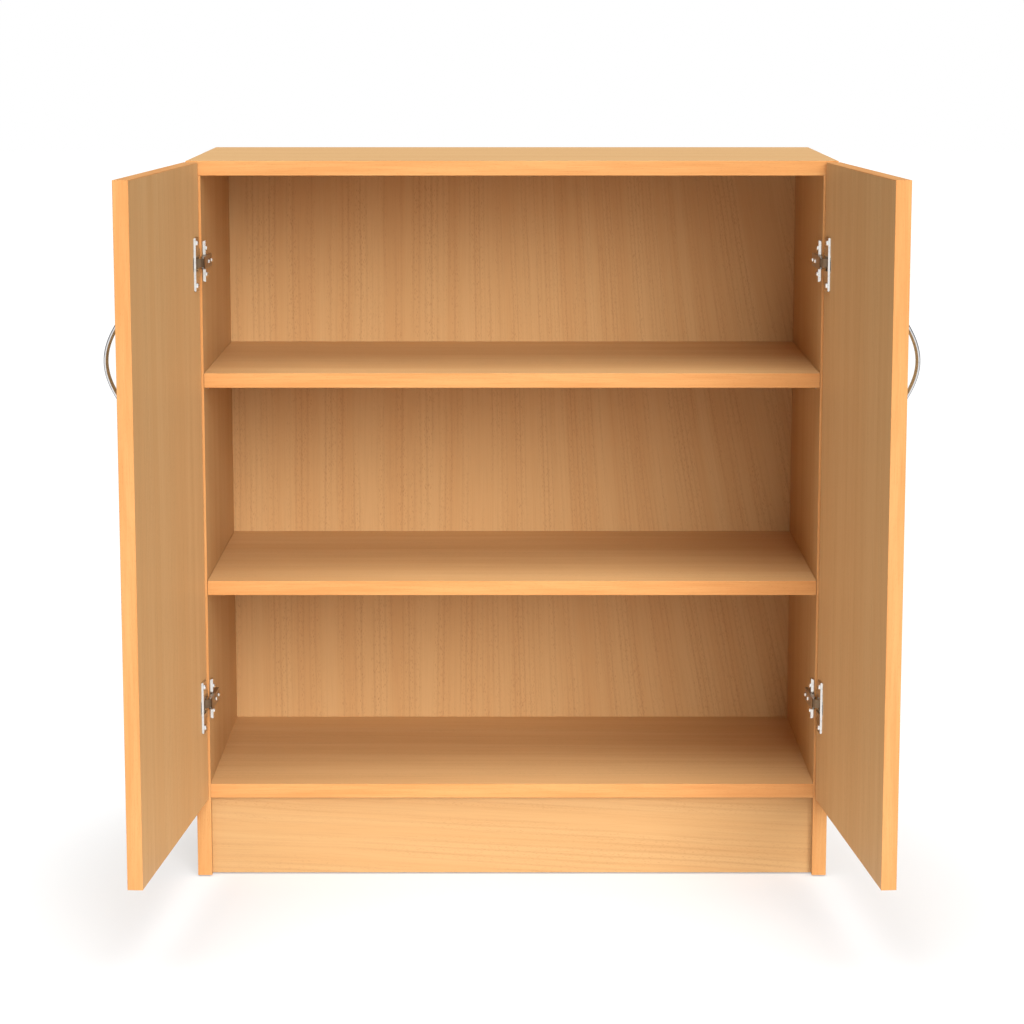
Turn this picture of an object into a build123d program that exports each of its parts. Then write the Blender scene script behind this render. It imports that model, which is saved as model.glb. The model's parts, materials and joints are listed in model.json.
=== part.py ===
# Low storage cabinet in beech-faced board: two overlay doors on cup hinges, two shelves and a plinth.
#
# Millimetres, +Z up. X runs across the front, Y runs back from the front edges of the boards. The model
# is built with Y = 0 on those front edges and is moved at the end, so that its origin lies on the
# floor in the middle of the space that the cabinet takes with its doors open.
#
# The doors are modelled closed and then turned open about the hinge line, as the photograph shows them.

import os
from math import cos, radians, sin

from build123d import *

os.makedirs("parts", exist_ok=True)

# Carcass
cabinet_width = 800.0
cabinet_height = 907.0
cabinet_depth = 380.0
board = 18.0  # thickness of every panel but the back
edging = 1.0  # thickness of the glued edge strips
plinth_opening = 101.5  # from the lower edge of the sides to the bottom panel's underside
plinth_setback = 12.0
shelf_count = 2
shelf_side_play = 0.5
shelf_back_play = 1.0

# Back panel, let into grooves
back_thickness = 8.0
back_margin = 6.0  # what the sides stand out behind it
groove_depth = 6.0
groove_play = 0.1

# Floor glides
glide_radius = 9.0
glide_show = 2.0
glide_inset = 28.0
glide_shank_radius = 2.5
glide_shank_length = 12.0
glide_edge = 0.8

# Dowels
dowel_radius = 4.0
dowel_length = 34.0
dowel_play = 0.05
dowel_tip = 1.0
dowel_end_gap = 1.0
dowel_end_inset = 40.0
top_dowels_per_side = 4
bottom_dowels_per_side = 4
plinth_dowels_per_side = 2
plinth_dowel_end_inset = 24.0

# Shelf studs
stud_radius = 2.5
stud_sunk = 9.0
stud_play = 0.05
stud_reach = 9.0
stud_collar_radius = 4.0
stud_collar_thickness = 1.5
stud_pad_thickness = 2.0
stud_setback = 45.0

# Doors
door_thickness = 18.0
door_gap = 3.0  # between the closed door and the front edges
door_side_reveal = 1.0
door_centre_gap = 3.0
door_top_reveal = 1.5
door_bottom_overhang = 1.0  # how far the door hangs below the bottom panel's underside
open_angle = 95.0  # as the photograph shows the doors

# Hinge line, the virtual axis that a closed door turns about
axis_inset = 7.5  # from the cabinet's outer face
axis_forward = 10.5  # in front of the boards' front edges

# Hinge places
upper_hinge_drop = 122.5  # from the door's top edge
lower_hinge_rise = 126.5  # from the door's bottom edge

# Hinge cup
cup_radius = 17.5
cup_edge_distance = 5.0  # from the door's edge to the cup's rim
cup_depth = 11.5
cup_wall = 0.9
cup_play = 0.1
flange_length = 66.0
flange_near = 6.0  # from the door's edge
flange_far = 36.0
ear_near = 14.0
flange_thickness = 2.6
flange_corner = 2.0
flange_rim = 0.8
bevel_share = 0.55  # width of a bevelled front edge, as a share of the metal's thickness
bevel_foot = 0.3  # what stays square below it
mouth_width = 17.4
mouth_far = 32.0
cup_screw_spacing = 52.0
cup_screw_offset = 28.0  # from the door's edge
screw_head_radius = 3.6
screw_head_height = 2.2
dome_share = 0.85  # of a head's height that is rounded
screw_shank_radius = 1.8
screw_length = 12.0
screw_play = 0.05
cross_slot_length = 4.2
cross_slot_width = 0.8
cross_slot_depth = 0.9

# Mounting plate
plate_thickness = 3.4
plate_start = 12.0  # behind the boards' front edges
plate_length = 40.0
plate_width = 14.0
wing_centre = 20.0
wing_width = 14.0
wing_corner = 2.0
wing_span = 51.0
wing_screw_spacing = 32.0
rail_width = 9.0
rail_height = 5.2
rail_margin = 2.0

# Hinge arm
arm_width = 15.6
arm_wall = 1.1
arm_back = 46.0  # the arm's rear end, behind the boards' front edges
arm_front_height = 5.5  # the arm's top at its front end, above the side's inner face
arm_back_height = 8.0  # and at its rear end
arm_bend = 12.0  # where the lower edge leaves the plate
arm_throat = 1.1  # height of the lower edge at the boards' front edges
arm_lip = 2.0  # how far the slope of the arm's front end runs back
nose_forward = 10.6  # the nose pin, in front of the boards' front edges
nose_height = 2.6  # the nose pin, above the side's inner face
nose_radius = 2.3
nose_pin_radius = 0.9
nose_pin_play = 0.05
arm_screw_radius = 3.0
arm_screw_height = 2.0
arm_boss_radius = 3.6
arm_boss_rise = 0.2
front_screw_place = 16.0
rear_screw_place = 38.0

# Link between the arm and the cup
lug_edge_distance = 10.5  # the cup's lugs, from the door's edge
lug_sunk = 3.15  # and below the door's inner face
lug_radius = 1.3
link_half_width = 5.4
link_strap = 1.8  # thickness of the metal
link_bow = 1.35  # how far the link's middle bends out of the line between its ends
link_eye_radius = 1.7  # round the nose pin
link_end_radius = 1.3  # at the cup's lugs
link_lug_gap = 0.3  # clearance that leaves this pivot open

# Bow handle
handle_centres = 96.0
handle_projection = 23.0
handle_section_wide = 10.0
handle_section_thick = 5.2
handle_edge_distance = 40.0  # from the door's free edge
handle_drop = 204.0  # from the door's top edge to the middle of the handle
foot_radius = 5.4
foot_height = 3.0
handle_screw_radius = 2.0
handle_screw_grip = 7.0
handle_screw_sunk = 13.0
handle_screw_tip = 0.5

# Overrun of every cut
over = 1.0

# Derived levels, measured from the floor
half_width = cabinet_width / 2
base = glide_show
bottom_under = base + plinth_opening
bottom_top = bottom_under + board
top_under = cabinet_height - board
bay = (top_under - bottom_top - shelf_count * board) / (shelf_count + 1)
shelf_tops = [bottom_top + (i + 1) * (bay + board) for i in range(shelf_count)]
inner_half = half_width - board
back_front = cabinet_depth - back_margin - back_thickness

door_bottom = bottom_under - door_bottom_overhang
door_top = cabinet_height - door_top_reveal
door_width = half_width - door_side_reveal - door_centre_gap / 2
door_edge = -half_width + door_side_reveal
door_inner = -door_gap
hinge_levels = [door_top - upper_hinge_drop, door_bottom + lower_hinge_rise]
cup_centre = door_edge + cup_edge_distance + cup_radius
side_face = -inner_half

hinge_line = Axis((-half_width + axis_inset, -axis_forward, 0), (0, 0, 1))


def open_corner_y():
    """Y of the open door's foremost corner, which sets how much floor the open cabinet takes."""
    turn = radians(open_angle)
    along = door_edge + door_width - hinge_line.position.X
    depth = door_inner + axis_forward
    inner = -along * sin(turn) + depth * cos(turn)
    outer = -along * sin(turn) + (depth - door_thickness) * cos(turn)
    return -axis_forward + min(inner, outer)


middle_y = (cabinet_depth + open_corner_y()) / 2


def slab(x0, x1, y0, y1, z0, z1):
    """A box between two corners."""
    return Pos((x0 + x1) / 2, (y0 + y1) / 2, (z0 + z1) / 2) * Box(x1 - x0, y1 - y0, z1 - z0)


def rod(radius, length, start, direction):
    """A round bar from a start point along a direction."""
    face = Plane(origin=start, z_dir=direction) * Circle(radius)
    return extrude(face, length)


def mirrored(shape):
    """The same piece on the cabinet's other side."""
    return mirror(shape, about=Plane.YZ)


def opened(shape):
    """A piece of the left door, turned from the closed place to the open one."""
    return shape.rotate(hinge_line, -open_angle)


def spread(first, last, count):
    """Evenly spaced places from first to last."""
    return [first + (last - first) * i / (count - 1) for i in range(count)]


def chamfered_rod(radius, length, tip, start, direction):
    """A round bar with a chamfer at both ends."""
    bar = rod(radius, length, start, direction)
    return chamfer(bar.edges().filter_by(GeomType.CIRCLE), tip)


# Places of the dowels
dowel_ys = spread(dowel_end_inset, back_front - dowel_end_inset, top_dowels_per_side)
bottom_dowel_ys = spread(dowel_end_inset, back_front - dowel_end_inset, bottom_dowels_per_side)
plinth_dowel_zs = spread(
    base + plinth_dowel_end_inset, bottom_under - plinth_dowel_end_inset, plinth_dowels_per_side
)
plinth_y = plinth_setback + board / 2


def dowel_set(places, direction, sunk):
    """Dowels whose joint faces lie at the given places; sunk is the part in the board's face."""
    bars = []
    for place in places:
        start = Vector(*place) - Vector(*direction) * sunk
        bars.append(chamfered_rod(dowel_radius, dowel_length, dowel_tip, start, direction))
    return bars


def dowel_holes(places, direction, sunk):
    """Cutters for both holes of each dowel."""
    cuts = []
    for place in places:
        start = Vector(*place) - Vector(*direction) * (sunk + dowel_end_gap)
        length = dowel_length + 2 * dowel_end_gap
        cuts.append(rod(dowel_radius + dowel_play, length, start, direction))
    return cuts


dowel_sunk = board - dowel_end_gap - 2 * dowel_tip
top_dowel_places = [(-half_width + board / 2, y, top_under) for y in dowel_ys]
bottom_dowel_places = [(side_face, y, bottom_top - board / 2) for y in bottom_dowel_ys]
plinth_dowel_places = [(side_face, plinth_y, z) for z in plinth_dowel_zs]

# A dowel's direction points out of the face that it is sunk into
DOWN = (0, 0, -1)
INWARD = (1, 0, 0)

stud_ys = [stud_setback, back_front - stud_setback]
stud_levels = [top - board - stud_pad_thickness for top in shelf_tops]


def stud_places():
    """Centres of the stud holes in the left side's inner face."""
    return [(side_face, y, z) for z in stud_levels for y in stud_ys]


def shelf_stud(place):
    """A plug-in stud: a pin in the side, a collar against its face and a flat-topped peg."""
    x, y, z = place
    centre_z = z + stud_pad_thickness - stud_radius
    pin = rod(stud_radius, stud_sunk + stud_reach, (x - stud_sunk, y, centre_z), INWARD)
    collar = rod(stud_collar_radius, stud_collar_thickness, (x, y, centre_z), INWARD)
    above = slab(x, x + stud_collar_thickness, y - board, y + board, z + stud_pad_thickness, z + board)
    return pin + (collar - above)


def stud_hole(place):
    """The blind hole for a stud."""
    x, y, z = place
    centre_z = z + stud_pad_thickness - stud_radius
    depth = stud_sunk + dowel_end_gap
    return rod(stud_radius + stud_play, depth + over, (x - depth, y, centre_z), INWARD)


glide_ys = [glide_inset, cabinet_depth - glide_inset]


def floor_glide(y):
    """A nail-on glide: a low disc with a softened lower edge and a shank in the board."""
    x = -half_width + board / 2
    disc = rod(glide_radius - glide_edge, glide_show, (x, y, 0), (0, 0, 1))
    rim = rod(glide_radius, glide_show - glide_edge, (x, y, glide_edge), (0, 0, 1))
    cone = loft(
        [
            Pos(x, y, 0) * Circle(glide_radius - glide_edge),
            Pos(x, y, glide_edge) * Circle(glide_radius),
        ]
    )
    shank = rod(glide_shank_radius, glide_shank_length, (x, y, glide_show), (0, 0, 1))
    return disc + rim + cone + shank


def glide_hole(y):
    """The hole for a glide's shank."""
    x = -half_width + board / 2
    return rod(glide_shank_radius + stud_play, glide_shank_length + dowel_end_gap, (x, y, base), (0, 0, 1))


def back_groove():
    """The groove along the left side that takes the back panel's edge."""
    return slab(
        side_face - groove_depth,
        side_face + over,
        back_front - groove_play,
        back_front + back_thickness + groove_play,
        base - over,
        cabinet_height,
    )


def side_panel():
    """The left side, from the glides to the top panel's underside."""
    panel = slab(-half_width, side_face, edging, cabinet_depth, base, top_under)
    cuts = [back_groove()]
    cuts += dowel_holes(top_dowel_places, DOWN, dowel_sunk)
    cuts += dowel_holes(bottom_dowel_places, INWARD, dowel_sunk)
    cuts += dowel_holes(plinth_dowel_places, INWARD, dowel_sunk)
    cuts += [stud_hole(place) for place in stud_places()]
    cuts += [glide_hole(y) for y in glide_ys]
    cuts += [wing_screw_hole(level, sign) for level in hinge_levels for sign in (1, -1)]
    return panel - cuts


def side_edging():
    """The strip on the left side's front edge."""
    return slab(-half_width, side_face, 0, edging, base, top_under)


def top_panel():
    """The top, laid over both sides."""
    panel = slab(
        -half_width + edging, half_width - edging, edging, cabinet_depth, top_under, cabinet_height
    )
    groove = slab(
        side_face - groove_depth,
        -side_face + groove_depth,
        back_front - groove_play,
        back_front + back_thickness + groove_play,
        top_under - over,
        top_under + groove_depth,
    )
    cuts = dowel_holes(top_dowel_places, DOWN, dowel_sunk)
    return panel - [groove] - cuts - [mirrored(cut) for cut in cuts]


def top_edging():
    """Strips on the top's front edge and on its two ends."""
    front = slab(-half_width, half_width, 0, edging, top_under, cabinet_height)
    end = slab(-half_width, -half_width + edging, edging, cabinet_depth, top_under, cabinet_height)
    return [front, end, mirrored(end)]


def bottom_panel():
    """The bottom, held between the sides by dowels."""
    panel = slab(side_face, -side_face, edging, back_front, bottom_under, bottom_top)
    cuts = dowel_holes(bottom_dowel_places, INWARD, dowel_sunk)
    return panel - cuts - [mirrored(cut) for cut in cuts]


def plinth():
    """The set-back board under the bottom panel."""
    panel = slab(side_face, -side_face, plinth_setback, plinth_setback + board, base, bottom_under)
    cuts = dowel_holes(plinth_dowel_places, INWARD, dowel_sunk)
    return panel - cuts - [mirrored(cut) for cut in cuts]


def front_strip(z0, z1, play):
    """The strip on the front edge of a board between the sides."""
    return slab(side_face + play, -side_face - play, 0, edging, z0, z1)


def shelf(top):
    """A loose shelf that rests on its studs."""
    return slab(
        side_face + shelf_side_play,
        -side_face - shelf_side_play,
        edging,
        back_front - shelf_back_play,
        top - board,
        top,
    )


def back_panel():
    """The thin back, from the bottom panel's underside up into the top's groove."""
    return slab(
        side_face - groove_depth + groove_play,
        -side_face + groove_depth - groove_play,
        back_front,
        back_front + back_thickness,
        bottom_under,
        top_under + groove_depth - groove_play,
    )


def cup_bore(level):
    """The blind bore for a hinge cup in the left door's inner face."""
    depth = cup_depth + dowel_end_gap / 2
    return rod(cup_radius + cup_play, depth + over, (cup_centre, door_inner - depth, level), (0, 1, 0))


def cup_screw_places(level):
    """Places of a cup's two screws on the door's inner face."""
    x = door_edge + cup_screw_offset
    return [(x, door_inner, level + sign * cup_screw_spacing / 2) for sign in (1, -1)]


def screw(place, direction, head_base):
    """A dome-head screw: place is on the board, direction points out of it."""
    start = Vector(*place) - Vector(*direction) * screw_length
    shank = rod(screw_shank_radius, screw_length + head_base, start, direction)
    seat = Vector(*place) + Vector(*direction) * head_base
    head = rod(screw_head_radius, screw_head_height, seat, direction)
    rims = head.edges().filter_by(GeomType.CIRCLE).sort_by(Axis(seat, direction))
    head = fillet(rims[-1:], screw_head_height * dome_share)
    tip = seat + Vector(*direction) * (screw_head_height - cross_slot_depth)
    frame = Plane(origin=tip, z_dir=direction)
    cross = Rectangle(cross_slot_length, cross_slot_width) + Rectangle(cross_slot_width, cross_slot_length)
    return shank + head - extrude(frame * cross, screw_head_height)


def screw_hole(place, direction, above):
    """The hole that a screw's shank sits in, through what lies up to a height above the board."""
    start = Vector(*place) - Vector(*direction) * (screw_length + dowel_end_gap)
    length = screw_length + dowel_end_gap + above
    return rod(screw_shank_radius + screw_play, length, start, direction)


handle_x = door_edge + door_width - handle_edge_distance
handle_level = door_top - handle_drop
door_outer = door_inner - door_thickness
handle_foot_levels = [handle_level + sign * handle_centres / 2 for sign in (1, -1)]


def handle_screw_bore(level):
    """The blind hole for a handle screw in the door's outer face."""
    length = handle_screw_sunk + dowel_end_gap + over
    return rod(handle_screw_radius + screw_play, length, (handle_x, door_outer - over, level), (0, 1, 0))


def left_door():
    """The left door's board, closed."""
    board_blank = slab(
        door_edge + edging,
        door_edge + door_width - edging,
        door_outer,
        door_inner,
        door_bottom + edging,
        door_top - edging,
    )
    cuts = [cup_bore(level) for level in hinge_levels]
    for level in hinge_levels:
        cuts += [screw_hole(place, (0, 1, 0), over) for place in cup_screw_places(level)]
    cuts += [handle_screw_bore(level) for level in handle_foot_levels]
    return board_blank - cuts


def left_door_edging():
    """Strips on the door's four edges, the long ones over the full height."""
    x0, x1 = door_edge, door_edge + door_width
    upright = slab(x0, x0 + edging, door_outer, door_inner, door_bottom, door_top)
    free = slab(x1 - edging, x1, door_outer, door_inner, door_bottom, door_top)
    low = slab(x0 + edging, x1 - edging, door_outer, door_inner, door_bottom, door_bottom + edging)
    high = slab(x0 + edging, x1 - edging, door_outer, door_inner, door_top - edging, door_top)
    return [upright, free, low, high]


def hinge_cup(level):
    """A pressed cup with its flange and two ears, on the closed left door."""
    centre = (cup_centre, door_inner - cup_depth, level)
    cup = rod(cup_radius, cup_depth, centre, (0, 1, 0))
    well = rod(
        cup_radius - cup_wall,
        cup_depth + over,
        (cup_centre, door_inner - cup_depth + cup_wall, level),
        (0, 1, 0),
    )
    plane = Plane(origin=(door_edge, door_inner, level), x_dir=(1, 0, 0), z_dir=(0, 1, 0))
    middle = Pos((flange_near + flange_far) / 2, 0) * Rectangle(flange_far - flange_near, 2 * cup_radius)
    ears = Pos((ear_near + flange_far) / 2, 0) * RectangleRounded(
        flange_far - ear_near, flange_length, flange_corner
    )
    flange = extrude(plane * (middle + ears), flange_thickness)
    rim = flange.faces().sort_by(Axis.Y)[-1].edges()
    flange = chamfer(rim, flange_rim)
    flange = flange - bevel(
        Plane(origin=(door_edge + flange_far, door_inner, level), x_dir=(-1, 0, 0), z_dir=(0, 0, 1)),
        -flange_thickness,
        flange_length,
    )
    mouth = slab(
        cup_centre - cup_radius + cup_wall,
        door_edge + mouth_far,
        door_inner - over,
        door_inner + flange_thickness + over,
        level - mouth_width / 2,
        level + mouth_width / 2,
    )
    holes = [screw_hole(place, (0, 1, 0), flange_thickness + over) for place in cup_screw_places(level)]
    bored = cup + flange - (well & slab_of_mouth(level)) - mouth
    for lug in cup_lugs(level):
        bored = bored + lug
    return bored - holes


def bevel(corner, rise, length):
    """Cutter that slopes a front edge: X of the corner plane goes into the metal, and Y is its height."""
    run = abs(rise) * bevel_share
    foot = bevel_foot if rise > 0 else -bevel_foot
    past = over if rise > 0 else -over
    face = make_face(corner * Polyline((0, foot), (run, rise), (run, rise + past), (-over, rise + past),
                                       (-over, foot), close=True))
    return extrude(face, length, both=True)


def slab_of_mouth(level):
    """The part of the well that lies below the flange, or in its mouth."""
    return slab(
        door_edge,
        door_edge + flange_far + cup_radius,
        door_inner - cup_depth,
        door_inner,
        level - cup_radius,
        level + cup_radius,
    )


def cup_screws(level):
    """The two screws that hold a cup's ears."""
    return [screw(place, (0, 1, 0), flange_thickness) for place in cup_screw_places(level)]


def wing_screw_place(level, sign):
    """Place of a mounting plate's screw on the left side's inner face."""
    return (side_face, wing_centre, level + sign * wing_screw_spacing / 2)


def wing_screw_hole(level, sign):
    """The pilot hole of a mounting plate's screw."""
    return screw_hole(wing_screw_place(level, sign), INWARD, over)


def hinge_plate(level):
    """The cross-shaped plate on the left side, with the rail that carries the arm."""
    plane = Plane(origin=(side_face, 0, level), x_dir=(0, 1, 0), z_dir=INWARD)
    bar = Pos(plate_start + plate_length / 2, 0) * RectangleRounded(
        plate_length, plate_width, plate_width / 4
    )
    wings = Pos(wing_centre, 0) * RectangleRounded(wing_width, wing_span, wing_corner)
    plate = extrude(plane * (bar + wings), plate_thickness)
    wing_edge = Plane(
        origin=(side_face, wing_centre - wing_width / 2, level), x_dir=(0, 1, 0), z_dir=(0, 0, -1)
    )
    between = slab(
        side_face,
        side_face + plate_thickness + over,
        0,
        wing_centre + wing_width,
        level - plate_width / 2,
        level + plate_width / 2,
    )
    plate = plate - (bevel(wing_edge, plate_thickness, wing_span) - between)
    rail_mid = plate_start + plate_length / 2
    rail = extrude(
        plane.offset(plate_thickness)
        * Pos(rail_mid, 0)
        * Rectangle(plate_length - 2 * rail_margin, rail_width),
        rail_height - plate_thickness,
    )
    holes = [
        screw_hole(wing_screw_place(level, sign), INWARD, plate_thickness + over) for sign in (1, -1)
    ]
    thread = [arm_screw_hole(level, place) for place in (front_screw_place, rear_screw_place)]
    return plate + rail - holes - thread


def plate_screws(level):
    """The two screws of a mounting plate."""
    return [screw(wing_screw_place(level, sign), INWARD, plate_thickness) for sign in (1, -1)]


def arm_frame(level):
    """Plane of the arm's side view in the middle of its width: X is the way back, Y the height."""
    return Plane(origin=(side_face, 0, level), x_dir=(0, 1, 0), z_dir=(0, 0, -1))


def arm_top(y):
    """Height of the arm's sloping top, so far behind the boards' front edges."""
    front = -nose_forward - nose_radius
    slope = (arm_back_height - arm_front_height) / (arm_back - front)
    return arm_front_height + (y - front) * slope


def arm_outline():
    """Side view of the arm: a low rear part on the plate and a nose round the nose pin."""
    front = -nose_forward - nose_radius
    with BuildSketch() as sketch:
        with BuildLine():
            Polyline(
                (front, arm_front_height - arm_wall),
                (front + arm_lip, arm_top(front + arm_lip)),
                (arm_back, arm_back_height),
                (arm_back, plate_thickness),
                (arm_bend, plate_thickness),
                (0, arm_throat),
                (-nose_forward, nose_height - nose_radius),
                (front, nose_height),
                close=True,
            )
        make_face()
        with Locations((-nose_forward, nose_height)):
            Circle(nose_radius)
    return sketch.sketch


def arm_inside():
    """Side view of the arm's hollow, open towards the side panel and at both ends."""
    front = -nose_forward - nose_radius - over
    back = arm_back + over
    back_roof = arm_top(back) - arm_wall
    front_roof = arm_top(front) - arm_wall
    return make_face(Polyline((back, -over), (back, back_roof), (front, front_roof), (front, -over), close=True))


def nose_pin_start(level):
    """Lower end of the nose pin."""
    return (side_face + nose_height, -nose_forward, level - arm_width / 2)


def hinge_arm(level):
    """The channel-shaped arm on the plate's rail, with a flat boss under each screw."""
    body = extrude(arm_frame(level) * arm_outline(), arm_width / 2, both=True)
    hollow = extrude(arm_frame(level) * arm_inside(), arm_width / 2 - arm_wall, both=True)
    pin = rod(nose_pin_radius + nose_pin_play, arm_width, nose_pin_start(level), (0, 0, 1))
    shell = body - hollow
    for place in (front_screw_place, rear_screw_place):
        root = (side_face + arm_top(place) - arm_wall, place, level)
        shell = shell + rod(arm_boss_radius, arm_wall + arm_boss_rise, root, INWARD)
    threads = [arm_screw_hole(level, place) for place in (front_screw_place, rear_screw_place)]
    return shell - pin - threads


def nose_pin(level):
    """The rivet across the nose of the arm, which the link turns on."""
    return rod(nose_pin_radius, arm_width, nose_pin_start(level), (0, 0, 1))


def lug_place():
    """The cup's lugs in the plan of the opened left door: the link's far end at rest."""
    turn = radians(open_angle)
    along = door_edge + lug_edge_distance - hinge_line.position.X
    depth = door_inner - lug_sunk + axis_forward
    x = hinge_line.position.X + along * cos(turn) + depth * sin(turn)
    y = -axis_forward - along * sin(turn) + depth * cos(turn)
    return Vector(x, y, 0)


def hinge_link(level):
    """The link at rest: a bent strap with an eye round the nose pin and a rolled far end."""
    near = Vector(side_face + nose_height, -nose_forward, level)
    far = lug_place() + Vector(0, 0, level)
    along = (near - far).normalized()
    middle = (near + far) / 2 + Vector(along.Y, -along.X, 0) * link_bow
    arc = ThreePointArc(near, middle, far)
    start = Plane(origin=arc @ 0, x_dir=(0, 0, 1), z_dir=arc % 0)
    strap = sweep(start * Rectangle(2 * link_half_width, link_strap), path=arc)
    eye = upright(near, link_eye_radius, link_half_width)
    end = upright(far, link_end_radius, link_half_width)
    return strap + eye + end - upright(near, nose_pin_radius + nose_pin_play, link_half_width + over)


def upright(centre, radius, half_height):
    """An upright cylinder about its centre."""
    return rod(radius, 2 * half_height, centre - Vector(0, 0, half_height), (0, 0, 1))


def cup_lugs(level):
    """The two lugs inside the closed door's cup that face the ends of the link."""
    x = door_edge + lug_edge_distance
    y = door_inner - lug_sunk
    inner = link_half_width + link_lug_gap
    lugs = [
        rod(lug_radius, cup_radius, (x, y, level + sign * inner), (0, 0, sign)) for sign in (1, -1)
    ]
    wall = rod(cup_radius - cup_wall / 2, cup_depth, (cup_centre, door_inner - cup_depth, level), (0, 1, 0))
    return [lug & wall for lug in lugs]


def arm_screw_hole(level, place):
    """The threaded hole of an arm screw, through the arm's top and into the rail."""
    return rod(
        screw_shank_radius + screw_play,
        arm_top(place) - plate_thickness + over,
        (side_face + plate_thickness, place, level),
        INWARD,
    )


def arm_screws(level):
    """The adjusting screw and the fixing screw on the arm's top."""
    heads = []
    for place in (front_screw_place, rear_screw_place):
        height = arm_top(place) + arm_boss_rise
        seat = (side_face + height, place, level)
        shank = rod(
            screw_shank_radius,
            height - plate_thickness,
            (side_face + plate_thickness, place, level),
            INWARD,
        )
        head = rod(arm_screw_radius, arm_screw_height, seat, INWARD)
        rims = head.edges().filter_by(GeomType.CIRCLE).sort_by(Axis.X)
        head = fillet(rims[-1:], arm_screw_height * dome_share)
        tip = (seat[0] + arm_screw_height - cross_slot_depth, place, level)
        frame = Plane(origin=tip, z_dir=INWARD)
        cross = Rectangle(cross_slot_length, cross_slot_width) + Rectangle(
            cross_slot_width, cross_slot_length
        )
        heads.append(shank + head - extrude(frame * cross, arm_screw_height))
    return heads


def handle():
    """The bow handle on the closed left door: an oval bar bent to an arc between two round feet."""
    half = handle_centres / 2
    rise = handle_projection - handle_section_thick / 2
    plane = Plane(origin=(handle_x, door_outer, handle_level), x_dir=(0, 0, 1), z_dir=(1, 0, 0))
    arc = plane * ThreePointArc((-half, 0), (0, rise), (half, 0))
    start = Plane(origin=arc @ 0, x_dir=(1, 0, 0), z_dir=arc % 0)
    section = start * Ellipse(handle_section_wide / 2, handle_section_thick / 2)
    bar = sweep(section, path=arc)
    behind = slab(
        handle_x - handle_section_wide,
        handle_x + handle_section_wide,
        door_outer,
        door_inner,
        handle_level - handle_centres,
        handle_level + handle_centres,
    )
    bow = bar - behind
    for level in handle_foot_levels:
        foot = rod(foot_radius, foot_height, (handle_x, door_outer, level), (0, -1, 0))
        foot = chamfer(foot.edges().filter_by(GeomType.CIRCLE).sort_by(Axis.Y)[:1], foot_height / 3)
        bow = bow + foot
    for level in handle_foot_levels:
        bow = bow - rod(
            handle_screw_radius + screw_play,
            handle_screw_grip + over,
            (handle_x, door_outer - handle_screw_grip, level),
            (0, 1, 0),
        )
    return bow


def handle_screw(level):
    """A double-ended screw, with one end in the door and the other in a handle foot."""
    start = door_outer - handle_screw_grip + over
    length = handle_screw_grip - over + handle_screw_sunk
    return chamfered_rod(handle_screw_radius, length, handle_screw_tip, (handle_x, start, level), (0, 1, 0))


def each_hinge(make):
    """What a function makes for one hinge, made for both hinges of a door."""
    made = []
    for level in hinge_levels:
        result = make(level)
        made += result if isinstance(result, list) else [result]
    return made


def save(name, pieces):
    """Writes one node, moved so that the origin is in the middle of the floor area."""
    solids = []
    for piece in pieces if isinstance(pieces, list) else [pieces]:
        solids += piece.solids()
    placed = [Pos(0, -middle_y, 0) * solid for solid in solids]
    shape = placed[0] if len(placed) == 1 else Compound(children=placed)
    export_step(shape, f"parts/{name}.step")


def both_sides(name, pieces):
    """Writes a piece of the left half and its mirror image."""
    pieces = pieces if isinstance(pieces, list) else [pieces]
    save(f"left_{name}", pieces)
    save(f"right_{name}", [mirrored(piece) for piece in pieces])


def both_doors(name, pieces):
    """Writes a piece of the left door, turned open, and its mirror image."""
    pieces = pieces if isinstance(pieces, list) else [pieces]
    both_sides(name, [opened(piece) for piece in pieces])


def carcass():
    """Writes the boards, their edge strips and what joins and carries them."""
    both_sides("side_panel", side_panel())
    both_sides("side_edging", side_edging())
    save("top_panel", top_panel())
    save("top_edging", top_edging())
    save("bottom_panel", bottom_panel())
    save("bottom_edging", front_strip(bottom_under, bottom_top, 0))
    save("plinth", plinth())
    save("back_panel", back_panel())
    for name, top in zip(("lower_shelf", "upper_shelf"), shelf_tops):
        save(name, shelf(top))
        save(f"{name}_edging", front_strip(top - board, top, shelf_side_play))
    joints = {
        "top_dowels": dowel_set(top_dowel_places, DOWN, dowel_sunk),
        "bottom_dowels": dowel_set(bottom_dowel_places, INWARD, dowel_sunk),
        "plinth_dowels": dowel_set(plinth_dowel_places, INWARD, dowel_sunk),
        "shelf_studs": [shelf_stud(place) for place in stud_places()],
        "floor_glides": [floor_glide(y) for y in glide_ys],
    }
    for name, pieces in joints.items():
        save(name, pieces + [mirrored(piece) for piece in pieces])


def hinges():
    """Writes what stays on the side panels of the four hinges."""
    both_sides("hinge_plates", each_hinge(hinge_plate))
    both_sides("hinge_plate_screws", each_hinge(plate_screws))
    both_sides("hinge_arms", each_hinge(hinge_arm))
    both_sides("hinge_arm_screws", each_hinge(arm_screws))
    both_sides("hinge_nose_pins", each_hinge(nose_pin))
    for name, level in zip(("upper_hinge_link", "lower_hinge_link"), hinge_levels):
        both_sides(name, hinge_link(level))


def doors():
    """Writes both doors with their hinge cups and handles."""
    both_doors("door", left_door())
    both_doors("door_edging", left_door_edging())
    both_doors("hinge_cups", each_hinge(hinge_cup))
    both_doors("hinge_cup_screws", each_hinge(cup_screws))
    both_doors("handle", handle())
    both_doors("handle_screws", [handle_screw(level) for level in handle_foot_levels])


carcass()
hinges()
doors()
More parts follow.
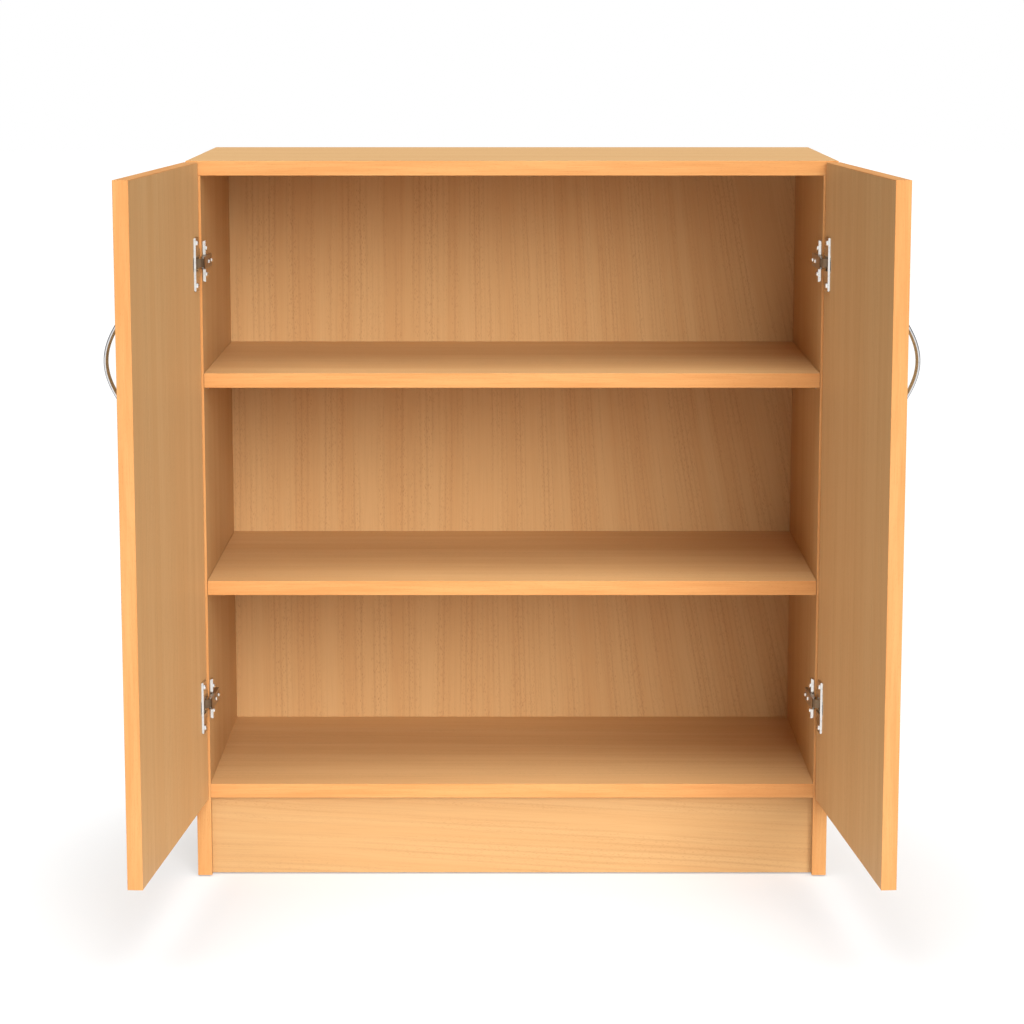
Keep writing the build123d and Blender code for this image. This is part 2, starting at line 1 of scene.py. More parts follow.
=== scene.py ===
# %% [markdown]
# # A low beech cabinet with both doors open
# The model arrives from CAD as loose triangles: boards, edge strips, hinges, screws and handles, each at
# its real place and in metres. X runs to the right, Y to the back and Z up, and the origin lies on the
# floor in the middle of the area that the open cabinet takes. This lesson gives every piece its finish,
# makes the rounded edge strips and the bright handles again as smooth surfaces, and sets up the view and
# the light of a plain studio picture.
# %% Load the model
import json
from math import cos, pi, radians, sin

import bmesh
import bpy
import numpy as np
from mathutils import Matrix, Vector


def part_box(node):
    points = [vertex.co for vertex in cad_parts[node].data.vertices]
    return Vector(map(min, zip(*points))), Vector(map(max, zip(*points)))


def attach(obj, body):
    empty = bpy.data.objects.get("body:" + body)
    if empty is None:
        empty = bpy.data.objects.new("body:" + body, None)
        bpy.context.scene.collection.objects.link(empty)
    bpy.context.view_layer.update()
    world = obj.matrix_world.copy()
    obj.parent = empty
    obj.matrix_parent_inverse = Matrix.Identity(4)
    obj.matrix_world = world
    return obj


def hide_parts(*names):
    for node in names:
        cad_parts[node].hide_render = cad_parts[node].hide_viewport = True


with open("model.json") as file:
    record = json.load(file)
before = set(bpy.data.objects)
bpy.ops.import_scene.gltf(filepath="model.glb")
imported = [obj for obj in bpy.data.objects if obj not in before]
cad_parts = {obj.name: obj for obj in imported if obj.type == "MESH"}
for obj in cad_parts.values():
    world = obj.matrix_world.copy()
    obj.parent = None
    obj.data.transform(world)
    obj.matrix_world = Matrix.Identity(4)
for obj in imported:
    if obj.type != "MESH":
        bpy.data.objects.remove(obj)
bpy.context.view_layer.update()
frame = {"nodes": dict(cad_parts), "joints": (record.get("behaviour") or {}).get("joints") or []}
mm = 0.001


def rounded(corners):
    """Corners to a tenth of a millimetre, for printing."""
    return [[round(c, 4) for c in corner] for corner in corners]


# %% [markdown]
# ## The view
# A picture of furniture is usually taken from some way off with a long lens, so that the sides stay nearly
# upright. The lens, the height and the tilt here come from a fit of the model's corners to the picture: a
# lens of 104 mm on a 36 mm wide frame, 3.6 m in front of the origin, a little above the cabinet's top and
# looking 9.5 degrees down.
# %% Camera
focal_length = 104.3
film_width = 36
camera_distance = 3.6425
camera_height = 1.0844
looking_down = 9.53


def add_object(name, data):
    """An object for a camera, a mesh or a lamp, put into the scene."""
    thing = bpy.data.objects.new(name, data)
    bpy.context.scene.collection.objects.link(thing)
    return thing


camera_data = bpy.data.cameras.new("camera")
camera_data.lens = focal_length
camera_data.sensor_width = film_width
camera = add_object("camera", camera_data)
camera.location = (0, -camera_distance, camera_height)
camera.rotation_euler = (radians(90 - looking_down), 0, 0)
bpy.context.scene.camera = camera
bpy.context.scene.view_settings.view_transform = "Standard"
print("camera:", tuple(camera.location), "lens", camera_data.lens)

# %% [markdown]
# ## Sums on sockets
# A procedural material is a page of arithmetic on the place of each point. Wiring that by hand hides the
# formula, so a small class wraps an output socket and takes over the signs + - * and **. An expression such
# as `1 - mask * 0.3` then adds its Math nodes by itself. A second class holds a node tree, and one method
# of it adds any other node: first its settings, then the numbers or links of its sockets. A finish is such
# a tree with a material round it.
# %% Value
class Value:
    """An output socket, on which sums read as they do on numbers."""

    def __init__(self, graph, socket):
        self.graph = graph
        self.socket = socket

    def math(self, operation, *terms):
        return self.graph.node("ShaderNodeMath", {"operation": operation}, dict(enumerate(terms)))

    def __add__(self, other):
        return self.math("ADD", self, other)

    def __sub__(self, other):
        return self.math("SUBTRACT", self, other)

    def __rsub__(self, other):
        return self.math("SUBTRACT", other, self)

    def __mul__(self, other):
        return self.math("MULTIPLY", self, other)

    def __pow__(self, other):
        return self.math("POWER", self, other)

    __radd__ = __add__
    __rmul__ = __mul__


# %% Graph
class Graph:
    """A node tree."""

    def __init__(self, tree):
        self.nodes = tree.nodes
        self.links = tree.links

    def node(self, kind, settings, values, output=None):
        """Adds a node: settings first, then values by a socket's name or number. Gives one of its outputs."""
        made = self.nodes.new(kind)
        for setting, choice in settings.items():
            setattr(made, setting, choice)
        inputs = [socket for socket in made.inputs if socket.enabled]
        by_name = {socket.name: socket for socket in inputs}
        for key, value in values.items():
            self.connect(inputs[key] if isinstance(key, int) else by_name[key], value)
        outputs = [socket for socket in made.outputs if socket.enabled and output in (None, socket.name)]
        return Value(self, outputs[0])

    def connect(self, socket, value):
        """Links a Value into a socket, or sets a number or colour on it."""
        if isinstance(value, Value):
            self.links.new(value.socket, socket)
        elif isinstance(value, tuple) and socket.type == "RGBA":
            socket.default_value = (*value, 1)
        else:
            socket.default_value = value

    def vector(self, x, y, z):
        return self.node("ShaderNodeCombineXYZ", {}, {0: x, 1: y, 2: z})

    def parts(self, vector, axes="XYZ"):
        """A vector's parts on the named axes."""
        return [self.node("ShaderNodeSeparateXYZ", {}, {0: vector}, axis) for axis in axes]

    def rays(self):
        """Whether a ray comes straight from the camera, and whether it comes from a shiny surface."""
        return [self.node("ShaderNodeLightPath", {}, {}, f"Is {kind} Ray") for kind in ("Camera", "Glossy")]

    def noise(self, x, y, z, detail=2.0, roughness=0.5):
        """Soft noise between 0 and 1, one wave for each whole number."""
        values = {"Vector": self.vector(x, y, z), "Scale": 1.0, "Detail": detail, "Roughness": roughness}
        return self.node("ShaderNodeTexNoise", {}, values)

    def spots(self, x, y, z):
        """Distance to the nearest of a scatter of points, one to each whole number."""
        return self.node("ShaderNodeTexVoronoi", {}, {"Vector": self.vector(x, y, z), "Scale": 1.0})

    def step(self, value, low, high):
        """A soft step from 0 at low to 1 at high, or from 1 down to 0 where low is the greater."""
        values = {"Value": value, "From Min": low, "From Max": high}
        return self.node("ShaderNodeMapRange", {"interpolation_type": "SMOOTHSTEP"}, values)

    def mix(self, first, second, factor):
        """A colour that goes from the first to the second as the factor goes from 0 to 1."""
        return self.node("ShaderNodeMix", {"data_type": "RGBA"}, {0: factor, 1: first, 2: second})


# %% Finish
class Finish(Graph):
    """A material and its nodes."""

    def __init__(self, name, **constants):
        self.material = bpy.data.materials.new(name)
        self.material.use_nodes = True
        super().__init__(self.material.node_tree)
        self.shader = self.nodes["Principled BSDF"]
        for socket, number in constants.items():
            self.shader.inputs[socket.replace("_", " ")].default_value = number

    def feed(self, name, value):
        """Sends a varying value to the shader."""
        self.connect(self.shader.inputs[name], value)

    def place(self, axes="XYZ"):
        """The point's place on the named axes, in metres, in the piece's own coordinates."""
        return self.parts(self.node("ShaderNodeTexCoord", {}, {}, "Object"), axes)

    def strip_place(self):
        """Distance along an edge strip and round it, in metres, from the strip's own map."""
        return self.parts(self.node("ShaderNodeUVMap", {}, {}), "XY")

    def bump(self, height, depth):
        """Relief: height from 0 to 1 stands for that depth in metres."""
        values = {"Height": height, "Distance": depth, "Strength": 1.0}
        self.feed("Normal", self.node("ShaderNodeBump", {}, values))


print("ready to write finishes")

# %% [markdown]
# ## Beech foil
# The boards are particle board under a printed beech pattern. Up close it has four layers: wide streaks of
# honey and rose, growth rings eight millimetres apart, fibres as fine as hair, and the short dark dashes of
# the pores that give beech away. One function draws them all from three distances: along the grain, across
# it and through the board. On a plain board the rings run straight. Where the board cut the trunk at a
# slant they lean: the distance across the rings gains a share of the way along the grain, and that share
# grows softly from one place across the board to another. Straight rings sway too, some millimetres to
# either side.
# %% Ring coordinate
wide_sway = 30 * mm
small_sway = 2.5 * mm


def ring_place(finish, along, across, seed, slant):
    """The distance across the rings: straight ones, or rings that lean from one place across to another."""
    wander = finish.noise(along * 1.3, across * 4.0, seed) - 0.5
    ripple = finish.noise(along * 9.0, across * 25.0, seed + 7) - 0.5
    swayed = across + wander * wide_sway + ripple * small_sway
    if slant is None:
        return swayed
    lean, start, end = slant
    return swayed + along * lean * finish.step(across, start, end)


# %% [markdown]
# A number that multiplies a distance below counts waves, rings or pores per metre: few along the grain and
# many across it, which draws each of them out into a streak. Each layer then darkens the ground by its own
# strength.
# %% Layers of the foil
rings_per_metre = 125
ring_strength = 0.34
fibre_strength = 0.32
fibre_relief = 0.04 * mm
chips_per_metre = 420
edge_start, edge_full = 0.8 * mm, 0.3 * mm  # how far before the rear edge the raw board sets in, and is full
GRAIN = (0.3, 0.13, 0.045)
PALE_CHIP = (0.62, 0.45, 0.26)
DARK_CHIP = (0.34, 0.21, 0.11)


def beech(name, axes, seed, shades, slant=None, rear=None, pores=0.6):
    """Beech foil: the axes name the ways along, across and through, rear the Y of an edge without a strip."""
    finish = Finish(name, Specular_IOR_Level=0.15)
    point = dict(zip("xyz", finish.place()))
    along, across, through = [point[axis] for axis in axes]
    rings = ring_place(finish, along, across, seed, slant)
    layer = through * 20 + seed
    growth = rings * rings_per_metre
    ring = finish.step(growth.math("PINGPONG", growth, 0.5), 0.2, 0.5)
    streak = finish.noise(along * 0.5, rings * 30, layer, detail=4.0, roughness=0.6)
    fibre = finish.noise(along * 14, rings * 1100, layer, detail=3.0, roughness=0.65)
    patch = finish.noise(along * 3, rings * 60, layer + 3)
    dash = finish.step(finish.spots(along * 150, rings * 950, layer), 0.34, 0.12)
    honey, rosy = shades
    dark = finish.mix(rosy, GRAIN, 0.5)
    colour = finish.mix(honey, rosy, finish.step(streak, 0.36, 0.64) * 0.5 + 0.22)
    colour = finish.mix(colour, dark, ring * finish.step(patch, 0.3, 0.7) * ring_strength)
    colour = finish.mix(colour, dark, finish.step(fibre, 0.45, 0.8) * fibre_strength)
    colour = finish.mix(colour, dark, dash * finish.step(patch, 0.35, 0.65) * pores)
    finish.feed("Roughness", 0.44 + fibre * 0.12)
    finish.bump(fibre * 0.5 - dash * 0.5, fibre_relief)
    if rear is not None:
        bare = finish.step(point["y"], rear - edge_start, rear - edge_full)
        chip = finish.spots(*[point[axis] * chips_per_metre for axis in "xyz"])
        chips = finish.mix(PALE_CHIP, DARK_CHIP, finish.step(chip, 0.2, 0.8))
        colour = finish.mix(colour, chips, bare)
    finish.feed("Base Color", colour)
    return finish.material


print("beech foil is ready:", rings_per_metre, "rings to a metre")

# %% [markdown]
# ## Which board gets which foil
# Each board is cut from another place of the roll, so each gets its own seed. Sides, doors and back have
# their grain upright; top, shelves, bottom and plinth have it from side to side. On the back the rings lean
# over to the right, and the plinth is a yellower print whose rings run gently down to the right. The sides
# are printed about an eighth darker, as painted shade for the dim inside of the cabinet. The rear edges of
# the sides and the top have no strip and show the raw board.
# %% Boards
# Three prints, each with its honey and its rosy shade. The one for the sides is the first print darkened
# by about an eighth: painted shade for the dim inside of the cabinet.
LIGHT = (0.68, 0.435, 0.205), (0.625, 0.36, 0.155)
SHADE_DARKENED = (0.6, 0.38, 0.178), (0.55, 0.315, 0.135)
YELLOW = (0.63, 0.385, 0.175), (0.59, 0.33, 0.135)
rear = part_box("top_panel")[1].y
# How much the rings lean, and the two places across the board between which the lean sets in, in metres.
slants = {"back": (0.22, -0.1, 0.35), "bottom": (0.05, 0.0, 0.4), "plinth": (0.06, -0.2, 0.0)}
foils = {
    "top_panel": beech("top_foil", "xyz", 1.7, LIGHT, rear=rear),
    "bottom_panel": beech("bottom_foil", "xyz", 5.3, LIGHT, slants["bottom"]),
    "lower_shelf": beech("lower_shelf_foil", "xyz", 9.1, LIGHT),
    "upper_shelf": beech("upper_shelf_foil", "xyz", 12.6, LIGHT),
    "back_panel": beech("back_foil", "zxy", 3.4, LIGHT, slants["back"], pores=1.0),
    "plinth": beech("plinth_foil", "xzy", 6.2, YELLOW, slants["plinth"]),
    "left_side_panel": beech("left_side_foil", "zyx", 15.9, SHADE_DARKENED, rear=rear),
    "right_side_panel": beech("right_side_foil", "zyx", 18.2, SHADE_DARKENED, rear=rear),
    "left_door": beech("left_door_foil", "zyx", 21.5, LIGHT),
    "right_door": beech("right_door_foil", "zyx", 24.8, LIGHT),
}


def dress(node, material):
    """Gives a CAD node one finish."""
    slots = frame["nodes"][node].data.materials
    slots.clear()
    slots.append(material)


for node, foil in foils.items():
    dress(node, foil)
print("boards dressed:", len(foils))

# %% [markdown]
# ## Edge strips
# A strip a millimetre thick is glued on each front edge, and its two outer corners are rounded by the
# trimmer. A box would show hard corners there, so each strip is made again: a profile with two small arcs
# is carried along a straight path. The strip gets its own map, the distance along it and the distance round
# it, so that its grain follows it upright or across. It is more orange than the foil and has fine wavy
# lines.
# %% Strip profile
board = 18 * mm
strip_thickness = 1 * mm
strip_rounding = 0.7 * mm


def strip_profile(steps=5):
    """Corner points (across, out): straight sides, and quarter circles at the two outer corners."""
    turn = np.linspace(0, pi / 2, steps)
    half_wide, high = board / 2 - strip_rounding, strip_thickness - strip_rounding
    right = np.stack([half_wide + strip_rounding * np.cos(turn), high + strip_rounding * np.sin(turn)], 1)
    left = right[::-1] * (-1, 1)
    return np.concatenate([[(-board / 2, 0), (board / 2, 0)], right, left])


def carried(profile, start, end, across, out):
    """A grid of points: the profile at both ends of a straight path, with the distances for its map."""
    start, end, across, out = [np.array(v, float) for v in (start, end, across, out)]
    ring = profile[:, :1] * across + profile[:, 1:] * out
    grid = np.stack([start + ring, end + ring])
    along = np.array([0, np.linalg.norm(end - start)])
    steps = np.linalg.norm(np.roll(profile, -1, 0) - profile, axis=1)
    return grid, along, np.concatenate([[0], np.cumsum(steps)])


# %% Closed surfaces
def shell(grid, along, round_it):
    """Points, faces, end faces and map of a tube that is closed by fans about the middles of its ends."""
    rows, columns = grid.shape[:2]
    points = np.concatenate([grid.reshape(-1, 3), grid[[0, -1]].mean(1)])
    i, j = np.meshgrid(np.arange(rows - 1), np.arange(columns), indexing="ij")
    i, j = i.ravel(), j.ravel()
    k = (j + 1) % columns
    quads = np.stack([i * columns + j, i * columns + k, (i + 1) * columns + k, (i + 1) * columns + j], 1)
    u = np.stack([along[i], along[i], along[i + 1], along[i + 1]], 1)
    v = np.stack([round_it[j], round_it[j + 1], round_it[j + 1], round_it[j]], 1)
    edge = np.arange(columns)
    following = (edge + 1) % columns
    last_row = (rows - 1) * columns
    first_fan = np.stack([np.full(columns, rows * columns), following, edge], 1)
    last_fan = np.stack([np.full(columns, rows * columns + 1), edge + last_row, following + last_row], 1)
    fan_u = np.repeat([along[0], along[-1]], columns * 3)
    fan_v = np.tile(np.stack([round_it[:-1] * 0, round_it[:-1], round_it[1:]], 1).ravel(), 2)
    uv = np.stack([np.append(u, fan_u), np.append(v, fan_v)], 1)
    return points, quads, np.concatenate([first_fan, last_fan]), uv


# %% Piece
def piece(name, shells, material, body, nodes, smooth=False):
    """One object from closed shells, riding on a body and standing for CAD nodes."""
    points, quads, fans, maps = zip(*shells)
    starts = np.cumsum([0] + [len(p) for p in points[:-1]])
    faces = [(q + n).tolist() + (f + n).tolist() for q, f, n in zip(quads, fans, starts)]
    mesh = bpy.data.meshes.new(name)
    mesh.from_pydata(np.concatenate(points), [], sum(faces, []))
    layer = mesh.uv_layers.new(name="UVMap")
    layer.data.foreach_set("uv", np.concatenate(maps).ravel())
    made = bmesh.new()
    made.from_mesh(mesh)
    bmesh.ops.recalc_face_normals(made, faces=made.faces)
    made.to_mesh(mesh)
    made.free()
    mesh.polygons.foreach_set("use_smooth", [smooth] * len(mesh.polygons))
    mesh.materials.append(material)
    thing = add_object(name, mesh)
    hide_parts(*nodes)
    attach(thing, body)
    print(f"{name}: {len(mesh.polygons)} faces")


# %% [markdown]
# The strip's finish: a warm ground between two close oranges, long wavy lines that follow the strip, and a
# few short dark flecks. The lines are noise that is drawn out more than thirty times along the strip.
# %% Strip finish
STRIP_PALE = (0.69, 0.35, 0.127)
STRIP_WARM = (0.64, 0.285, 0.093)
LINE = (0.53, 0.2, 0.055)
FLECK = (0.455, 0.165, 0.05)
line_sway = 1.6 * mm
line_strength = 0.4
fleck_strength = 0.3
line_relief = 0.03 * mm


def strip_finish(name, seed):
    finish = Finish(name, Specular_IOR_Level=0.2)
    along, across = finish.strip_place()
    sway = (finish.noise(along * 25, across * 60, seed) - 0.5) * line_sway
    line = finish.noise(along * 22, (across + sway) * 750, seed, detail=3.0, roughness=0.6)
    tone = finish.noise(along * 5, across * 90, seed + 5, detail=3.0)
    fleck = finish.step(finish.spots(along * 130, (across + sway) * 900, seed), 0.3, 0.1)
    colour = finish.mix(STRIP_PALE, STRIP_WARM, finish.step(tone, 0.3, 0.7))
    colour = finish.mix(colour, LINE, finish.step(line, 0.42, 0.8) * line_strength)
    colour = finish.mix(colour, FLECK, fleck * fleck_strength)
    finish.feed("Base Color", colour)
    finish.feed("Roughness", 0.38 + line * 0.1)
    finish.bump(line, line_relief)
    return finish.material


strips_finish = strip_finish("edge_strip", 2.3)
profile = strip_profile()
print("strip profile:", len(profile), "corners")

# %% [markdown]
# ## Strips on the fixed boards
# Every strip takes its place from the box of the CAD node that it stands for: the low and the high corner
# give the run, the height and the face that the strip is glued to.
# %% Fixed strips
def strip(start, end, across, out):
    """A strip from start to end: its width lies across, and its rounded face looks out."""
    return shell(*carried(profile, start, end, across, out))


def level_strip(node):
    """Strip along X on a front edge: from the node's left end to its right end."""
    low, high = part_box(node)
    middle = (low.z + high.z) / 2
    glued = low.y + strip_thickness
    return strip((low.x, glued, middle), (high.x, glued, middle), (0, 0, 1), (0, -1, 0))


for node in ("bottom_edging", "lower_shelf_edging", "upper_shelf_edging"):
    piece(f"{node}_strip", [level_strip(node)], strips_finish, "carcass", [node])

for node in ("left_side_edging", "right_side_edging"):
    low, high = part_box(node)
    middle = (low.x + high.x) / 2
    upright = strip((middle, high.y, low.z), (middle, high.y, high.z), (1, 0, 0), (0, -1, 0))
    piece(f"{node}_strip", [upright], strips_finish, "carcass", [node])

low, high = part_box("top_edging")
middle = (low.z + high.z) / 2
top_shells = [level_strip("top_edging")]
for end, out in ((low.x, -1), (high.x, 1)):
    glued = end - out * strip_thickness
    run = (glued, low.y + strip_thickness, middle), (glued, high.y, middle)
    top_shells.append(strip(*run, (0, 0, 1), (out, 0, 0)))
piece("top_edging_strips", top_shells, strips_finish, "carcass", ["top_edging"])

# %% [markdown]
# ## Strips and handles on the doors
# A door is easiest to describe closed. Its pieces are made there and then swung open about the hinge line,
# by 95 degrees, as a turn of their points. The right door's are the mirror image.
# %% Swing
hinge = {joint["name"]: joint for joint in frame["joints"]}["left_door_hinge"]
hinge_x, hinge_y = hinge["pos_m"][:2]
open_angle = radians(95)
door_gap = 3 * mm
door_edge = -399 * mm
door_width = 397.5 * mm
door_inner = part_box("top_edging")[0].y - door_gap
door_outer = door_inner - board
door_bottom, door_top = [corner.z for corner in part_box("left_door_edging")]


def swung(points):
    """Points of the closed left door after it has turned open about the hinge line."""
    x, y = points[:, 0] - hinge_x, points[:, 1] - hinge_y
    turned_x = x * cos(open_angle) + y * sin(open_angle)
    turned_y = y * cos(open_angle) - x * sin(open_angle)
    return np.stack([turned_x + hinge_x, turned_y + hinge_y, points[:, 2]], 1)


def on_door(side, shells):
    """Shells of the closed left door, opened, and mirrored for the right one."""
    flip = (1, 1, 1) if side == "left" else (-1, 1, 1)
    return [(swung(points) * flip, *rest) for points, *rest in shells]


print("left door turns about x, y:", round(hinge_x, 4), round(hinge_y, 4))

# %% Door strips
middle = (door_inner + door_outer) / 2
left_x, right_x = door_edge + strip_thickness, door_edge + door_width - strip_thickness
low_z, high_z = door_bottom + strip_thickness, door_top - strip_thickness
door_strips = [
    ((left_x, middle, door_bottom), (left_x, middle, door_top), (-1, 0, 0)),
    ((right_x, middle, door_bottom), (right_x, middle, door_top), (1, 0, 0)),
    ((left_x, middle, low_z), (right_x, middle, low_z), (0, 0, -1)),
    ((left_x, middle, high_z), (right_x, middle, high_z), (0, 0, 1)),
]
strip_shells = [strip(start, end, (0, 1, 0), out) for start, end, out in door_strips]
for side in ("left", "right"):
    name = f"{side}_door_edging"
    piece(f"{name}_strips", on_door(side, strip_shells), strips_finish, f"{side}_door", [name])

# %% [markdown]
# ## Bow handles
# The handle is an oval bar, bent to a bow and chromed. Chrome shows every flat, so the bar is a surface: an
# oval carried along a curve. The curve lies halfway between half a wave of a cosine and a parabola: an arc
# of a circle would be too flat in the middle. The bar gets thinner inside the feet, which are round discs
# with a softened rim, turned about the screws.
# %% Handle sizes
handle_inset = 40 * mm
handle_drop = 204 * mm
handle_x = door_edge + door_width - handle_inset
handle_z = door_top - handle_drop
centres = 96 * mm
reach = 22.4 * mm
half_wide = 5 * mm
half_thick = 2.6 * mm
thinned_share = 0.1
foot_radius = 5.4 * mm
foot_height = 3 * mm
foot_rim = 1 * mm


def eased(x):
    """A soft step from 0 to 1: three x squared minus two x cubed."""
    x = np.clip(x, 0, 1)
    return x * x * (3 - 2 * x)


print("left handle, door closed:", rounded([(handle_x, door_outer, handle_z)]))


# %% Handle surfaces
def bar_grid(rows=141, columns=48):
    """Its path is the mean of a cosine and a parabola. Round it go the cosine and sine of a turn, an oval."""
    s = np.linspace(-1, 1, rows)
    bow = reach - half_thick - foot_height / 2
    rise = (np.cos(s * pi / 2) + 1 - s * s) / 2
    path = np.stack([s * centres / 2, foot_height / 2 + bow * rise], 1)
    slope = np.gradient(path, axis=0)
    slope /= np.linalg.norm(slope, axis=1, keepdims=True)
    thick = half_thick * (0.5 + 0.5 * eased((1 - np.abs(s)) / thinned_share))
    turn = np.linspace(0, 2 * pi, columns, endpoint=False)
    across = np.cos(turn)[:, None] * half_wide * (1, 0, 0)
    outward = np.stack([s * 0, -slope[:, 0], -slope[:, 1]], 1)
    along = (thick[:, None] * np.sin(turn))[..., None] * outward[:, None]
    middle = np.stack([s * 0, -path[:, 1], path[:, 0]], 1)[:, None]
    grid = middle + across + along + (handle_x, door_outer, handle_z)
    return grid, np.linspace(0, 1.1 * centres, rows), np.linspace(0, 2 * pi * half_wide, columns + 1)


def foot_grid(sign, columns=40):
    """A turned disc: a straight side and a quarter circle at its rim, turned about the foot's middle."""
    turn = np.linspace(0, pi / 2, 7)
    radius = np.concatenate([[foot_radius], foot_radius - foot_rim + foot_rim * np.cos(turn)])
    height = np.concatenate([[0], foot_height - foot_rim + foot_rim * np.sin(turn)])
    round_it = np.linspace(0, 2 * pi, columns, endpoint=False)
    ring = np.stack([np.cos(round_it), round_it * 0, np.sin(round_it)], 1)
    grid = radius[:, None, None] * ring + height[:, None, None] * (0, -1, 0)
    grid += (handle_x, door_outer, handle_z + sign * centres / 2)
    return grid, height, np.linspace(0, 2 * pi * foot_radius, columns + 1)


# %% [markdown]
# ## Bright metal
# Chrome on the handles is a mirror with a faint cloudiness. The hinges are pressed sheet steel under
# nickel: a warmer and softer shine, with the tiny waves that pressing leaves. Their arms are painted a
# duller warm grey and the links between arm and cup a dark brown: both colours are painted reflection of
# the brown wood inside the cabinet. Screws are plated too. All are fully metallic, and only shade,
# roughness and a very small relief vary.
# %% Metals
clouds_per_metre = 260
clouded_share = 0.86


def plated(name, colour, rough, wave):
    """Plated steel: noise of a few millimetres varies its shade, its roughness and its relief."""
    finish = Finish(name, Metallic=1.0)
    x, y, z = [axis * clouds_per_metre for axis in finish.place()]
    cloud = finish.noise(x, y, z, detail=3.0)
    scuff = finish.noise(x * 6, y * 6, z * 6)
    dull = tuple(c * clouded_share for c in colour)
    finish.feed("Base Color", finish.mix(colour, dull, finish.step(cloud, 0.45, 0.75)))
    finish.feed("Roughness", rough + cloud * rough * 0.6 + scuff * rough * 0.3)
    finish.bump(cloud, wave)
    return finish.material


chrome = plated("chrome", (0.74, 0.74, 0.75), rough=0.06, wave=0.002 * mm)
nickel = plated("nickel", (0.78, 0.76, 0.72), rough=0.16, wave=0.03 * mm)
screw_plating = plated("screw_plating", (0.9, 0.89, 0.87), rough=0.14, wave=0.02 * mm)
# The arms' warm grey and the links' dark brown are painted reflection of the brown wood inside the cabinet.
arm_steel = plated("arm_steel", (0.5, 0.42, 0.33), rough=0.3, wave=0.03 * mm)
link_steel = plated("link_steel", (0.25, 0.17, 0.105), rough=0.34, wave=0.03 * mm)
stud_steel = plated("stud_steel", (0.74, 0.73, 0.71), rough=0.22, wave=0.02 * mm)
metal_parts = {
    "hinge_cups": nickel,
    "hinge_plates": nickel,
    "hinge_arms": arm_steel,
    "upper_hinge_link": link_steel,
    "lower_hinge_link": link_steel,
    "hinge_cup_screws": screw_plating,
    "hinge_arm_screws": screw_plating,
    "hinge_plate_screws": screw_plating,
    "hinge_nose_pins": screw_plating,
    "handle_screws": screw_plating,
}

# %% Metal pieces
handle_shells = [shell(*bar_grid()), shell(*foot_grid(1)), shell(*foot_grid(-1))]
for side in ("left", "right"):
    shells, stands_for = on_door(side, handle_shells), [f"{side}_handle"]
    piece(f"{side}_bow_handle", shells, chrome, f"{side}_door", stands_for, smooth=True)
    for part, metal in metal_parts.items():
        dress(f"{side}_{part}", metal)
dress("shelf_studs", stud_steel)
print("metal parts dressed:", 2 * len(metal_parts) + 1)

# %% [markdown]
# ## Small parts
# The dowels are turned beech, unfinished, with a fine grain. The glides under the sides are dark moulded
# plastic with the fine grain that a mould leaves.
# %% Dowels and glides
def turned_beech():
    finish = Finish("turned_beech", Roughness=0.7)
    fibre = finish.noise(*[axis * 300 for axis in finish.place()], detail=3.0)
    pale, brown = (0.72, 0.52, 0.32), (0.55, 0.36, 0.2)
    finish.feed("Base Color", finish.mix(pale, brown, fibre))
    finish.bump(fibre, 0.05 * mm)
    return finish.material


def moulded_plastic():
    finish = Finish("moulded_plastic", Specular_IOR_Level=0.4)
    grain = finish.noise(*[axis * 2500 for axis in finish.place()])
    black, brown = (0.05, 0.045, 0.04), (0.08, 0.07, 0.06)
    finish.feed("Base Color", finish.mix(black, brown, grain))
    finish.feed("Roughness", 0.5 + grain * 0.2)
    finish.bump(grain, 0.03 * mm)
    return finish.material


dowel_wood = turned_beech()
for node in ("top_dowels", "bottom_dowels", "plinth_dowels"):
    dress(node, dowel_wood)
dress("floor_glides", moulded_plastic())
print("dowels and glides dressed")

# %% [markdown]
# ## Floor and background
# A studio floor that runs into a white background is white to the camera, and yet it shows the cabinet's
# soft shadow. The floor is a pale diffuse surface, so it throws light back as a real one does. Only for the
# camera and for mirrors it is mixed with plain white, so that the lit floor reaches white and just the
# shadow stays grey. Away from the cabinet the mix goes over to white altogether. Mirrors see that white
# turn grey beside and behind the cabinet, where the studio's walls would stand. A camera under the floor
# looks through it.
# %% Floor
floor_reach = 20.0
shadow_middle = -0.1
shadow_end, white_start = 0.45, 0.9
least_white = 0.35
white_level = 1.1
mirrored_loss = 0.8
walls = 0.4  # from this far in front of the origin to as far behind it, the mirrored floor turns grey
PAPER = (0.8, 0.8, 0.8)
WHITE = (1.0, 1.0, 1.0)


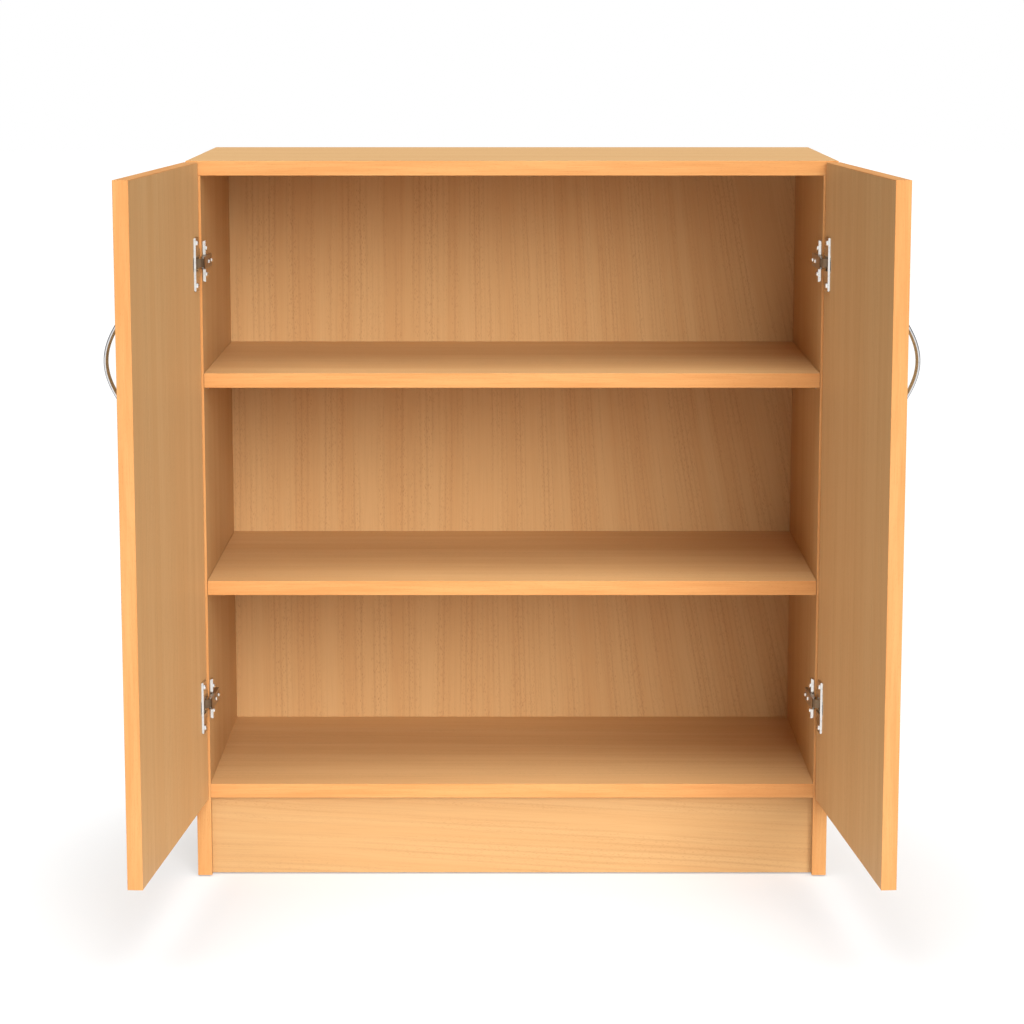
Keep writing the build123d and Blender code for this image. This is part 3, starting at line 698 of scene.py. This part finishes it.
def studio_floor():
    finish = Finish("studio_floor")
    x, y = finish.place("XY")
    seen, mirrored = finish.rays()
    far = finish.step((x**2 + (y - shadow_middle) ** 2) ** 0.5, shadow_end, white_start)
    plain = (seen + mirrored) * (far * (1 - least_white) + least_white)
    paper = finish.node("ShaderNodeBsdfDiffuse", {}, {"Color": PAPER})
    level = white_level - mirrored * finish.step(y, -walls, walls) * mirrored_loss
    white = finish.node("ShaderNodeEmission", {}, {"Color": WHITE, "Strength": level})
    ground = finish.node("ShaderNodeMixShader", {}, {0: plain, 1: paper, 2: white})
    below = finish.node("ShaderNodeNewGeometry", {}, {}, "Backfacing")
    clear = finish.node("ShaderNodeBsdfTransparent", {}, {})
    ground = finish.node("ShaderNodeMixShader", {}, {0: below * seen, 1: ground, 2: clear})
    finish.links.new(ground.socket, finish.nodes["Material Output"].inputs["Surface"])
    return finish.material


floor_mesh = bpy.data.meshes.new("floor")
corners = [(x * floor_reach, y * floor_reach, 0) for x, y in ((-1, -1), (1, -1), (1, 1), (-1, 1))]
floor_mesh.from_pydata(corners, [], [(0, 1, 2, 3)])
floor_mesh.materials.append(studio_floor())
floor = add_object("floor", floor_mesh)
print("floor:", 2 * floor_reach, "m square")

# %% [markdown]
# ## Light
# The inside shows how the picture was lit. The back of each bay is dark right under the board above it and
# gets brighter downwards for a hand's breadth, which takes a large light low in front, a little to the
# right. The tops of the boards are bright, so a second soft light hangs overhead. A weak white surround
# fills the shadows. Mirrors see a brighter studio in front and a grey one beside and behind the cabinet,
# which draws the dark line along the chrome. The lamps are suns with wide discs, as strong far away as
# near. Shiny surfaces don't mirror the lamps themselves, only the studio, as under large softboxes.
# %% Surround
sky_fill = 0.05
rear_loss = 0.85
sky_turn = 0.3
world = bpy.data.worlds.new("surround")
world.use_nodes = True
bpy.context.scene.world = world
sky = Graph(world.node_tree)
seen, mirrored = sky.rays()
[backward] = sky.parts(sky.node("ShaderNodeTexCoord", {}, {}), "Y")
studio = 1 - sky.step(backward, -sky_turn, sky_turn) * rear_loss
brightness = seen * (1 - sky_fill) + mirrored * (studio - sky_fill) + sky_fill
sky.connect(sky.nodes["Background"].inputs["Strength"], brightness)
sky.connect(sky.nodes["Background"].inputs["Color"], WHITE)
print("surround: fill", sky_fill)


# %% Lamps
def sun(name, strength, azimuth, height, disc):
    """A sun that shines from so many degrees right of the camera's way and above the floor."""
    lamp = bpy.data.lights.new(name, "SUN")
    lamp.energy = strength
    lamp.angle = radians(disc)
    thing = add_object(name, lamp)
    thing.rotation_euler = (radians(90 - height), 0, radians(azimuth))
    thing.visible_glossy = False
    print(f"{name}: {strength} from {height} degrees up")


sun("key", strength=2.75, azimuth=14, height=20, disc=36)
sun("overhead", strength=3.25, azimuth=0, height=75, disc=60)
